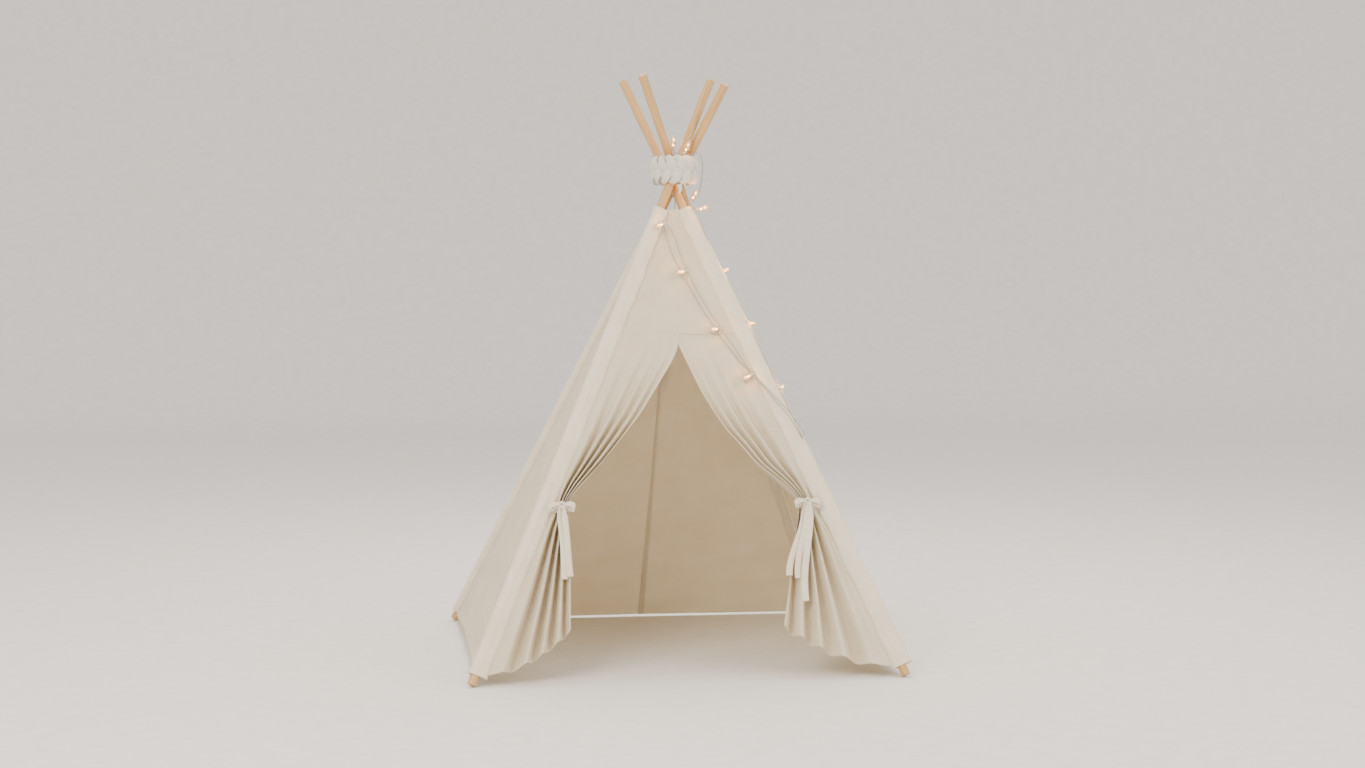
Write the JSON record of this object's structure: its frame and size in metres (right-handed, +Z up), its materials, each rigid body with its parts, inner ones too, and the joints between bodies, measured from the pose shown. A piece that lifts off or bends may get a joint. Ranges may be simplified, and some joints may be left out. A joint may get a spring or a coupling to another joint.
{
  "type": "play tent on poles",
  "caption": "Four-pole play tent with a canvas cover, a braided rope collar, tied-back door flaps and a battery light string.",
  "frame": {"origin": "on the floor, at the middle of the square that the outsides of the four feet touch", "axes": "+Z up, the door faces -Y, +X to the right of someone who looks in through the door"},
  "size_m": [1.2222, 1.2223, 1.6936],
  "materials": {
    "pole_wood": "plain sanded pine, clear matt varnish",
    "joint_tube": "wood-coloured joint tube",
    "cotton_canvas": "plain woven natural cotton canvas",
    "cotton_ribbon": "cotton tape",
    "cotton_rope": "braided cotton rope",
    "battery_case": "moulded white plastic",
    "cell_jacket": "plain printed jacket",
    "switch": "moulded black plastic",
    "light_wire": "clear insulated wire",
    "light_socket": "moulded translucent plastic",
    "light_cover": "clear moulded plastic",
    "led": "clear resin over a warm white chip"
  },
  "bodies": {
    "lashing": {"rope_collar": "cotton_rope", "rope_end": "cotton_rope", "light_wire_crown": "light_wire", "light_sockets_crown": "light_socket", "light_covers_crown": "light_cover", "light_leds_crown": "led"},
    "front_left_pole": {"pole_front_left_lower": "pole_wood", "pole_front_left_upper": "pole_wood", "pole_front_left_joint_tube": "joint_tube", "sleeve_front_left": "cotton_canvas"},
    "front_right_pole": {"pole_front_right_lower": "pole_wood", "pole_front_right_upper": "pole_wood", "pole_front_right_joint_tube": "joint_tube", "sleeve_front_right": "cotton_canvas", "light_wire_right": "light_wire", "light_sockets_right": "light_socket", "light_covers_right": "light_cover", "light_leds_right": "led"},
    "back_left_pole": {"pole_back_left_lower": "pole_wood", "pole_back_left_upper": "pole_wood", "pole_back_left_joint_tube": "joint_tube", "sleeve_back_left": "cotton_canvas"},
    "back_right_pole": {"pole_back_right_lower": "pole_wood", "pole_back_right_upper": "pole_wood", "pole_back_right_joint_tube": "joint_tube", "sleeve_back_right": "cotton_canvas"},
    "front_wall": {"panel_front_top": "cotton_canvas", "door_flap_left": "cotton_canvas", "door_flap_right": "cotton_canvas", "tie_left_band": "cotton_ribbon", "tie_left_bow": "cotton_ribbon", "tie_right_band": "cotton_ribbon", "tie_right_bow": "cotton_ribbon", "light_wire_front": "light_wire", "light_wire_return": "light_wire", "light_sockets_front": "light_socket", "light_covers_front": "light_cover", "light_leds_front": "led"},
    "back_wall": {"panel_back_left_half": "cotton_canvas", "panel_back_right_half": "cotton_canvas", "light_wire_lead": "light_wire", "battery_box": "battery_case", "battery_lid": "battery_case", "battery_cells": "cell_jacket"},
    "left_wall": {"panel_left": "cotton_canvas"},
    "right_wall": {"panel_right": "cotton_canvas"},
    "switch_knob": {"battery_switch": "switch"}
  },
  "joints": [
    {"name": "front_left_fold", "type": "hinge", "parent": "lashing", "child": "front_left_pole", "pos_m": [0.031, -0.05, 1.425], "axis": [0.6569, -0.7539, 0], "range_deg": [0, 24], "deforming": ["door_flap_left", "door_flap_right", "panel_back_left_half", "panel_back_right_half", "panel_front_top", "panel_left", "panel_right", "tie_left_band", "tie_left_bow", "tie_right_band", "tie_right_bow", "light_covers_crown", "light_covers_front", "light_covers_right", "light_leds_crown", "light_leds_front", "light_leds_right", "light_sockets_crown", "light_sockets_front", "light_sockets_right", "light_wire_crown", "light_wire_front", "light_wire_lead", "light_wire_return", "light_wire_right"]},
    {"name": "front_right_fold", "type": "hinge", "parent": "lashing", "child": "front_right_pole", "pos_m": [-0.001, -0.011, 1.425], "axis": [0.6999, 0.7142, 0], "range_deg": [0, 24]},
    {"name": "back_left_fold", "type": "hinge", "parent": "lashing", "child": "back_left_pole", "pos_m": [0.06, 0.024, 1.425], "axis": [-0.6574, -0.7535, 0], "range_deg": [0, 24]},
    {"name": "back_right_fold", "type": "hinge", "parent": "lashing", "child": "back_right_pole", "pos_m": [0.028, -0.006, 1.425], "axis": [-0.7273, 0.6864, 0], "range_deg": [0, 24]},
    {"name": "front_wall_fold", "type": "hinge", "parent": "lashing", "child": "front_wall", "pos_m": [0, -0.0305, 1.425], "axis": [1, 0, 0], "range_deg": [0, 17.39]},
    {"name": "back_wall_fold", "type": "hinge", "parent": "lashing", "child": "back_wall", "pos_m": [0, 0.009, 1.425], "axis": [-1, 0, 0], "range_deg": [0, 17.75]},
    {"name": "left_wall_fold", "type": "hinge", "parent": "lashing", "child": "left_wall", "pos_m": [0.0455, 0, 1.425], "axis": [0, -1, 0], "range_deg": [0, 19.09]},
    {"name": "right_wall_fold", "type": "hinge", "parent": "lashing", "child": "right_wall", "pos_m": [0.0135, 0, 1.425], "axis": [0, 1, 0], "range_deg": [0, 17.87]},
    {"name": "battery_switch_slide", "type": "slide", "parent": "back_wall", "child": "switch_knob", "axis": [1, 0, 0], "range_m": [0, 0.006]}
  ],
  "couplings": [
    {"joint": "front_right_fold", "follows": "front_left_fold", "ratio": 1},
    {"joint": "back_left_fold", "follows": "front_left_fold", "ratio": 1},
    {"joint": "back_right_fold", "follows": "front_left_fold", "ratio": 1},
    {"joint": "front_wall_fold", "follows": "front_left_fold", "ratio": 0.724},
    {"joint": "back_wall_fold", "follows": "front_left_fold", "ratio": 0.739},
    {"joint": "left_wall_fold", "follows": "front_left_fold", "ratio": 0.795},
    {"joint": "right_wall_fold", "follows": "front_left_fold", "ratio": 0.744}
  ]
}
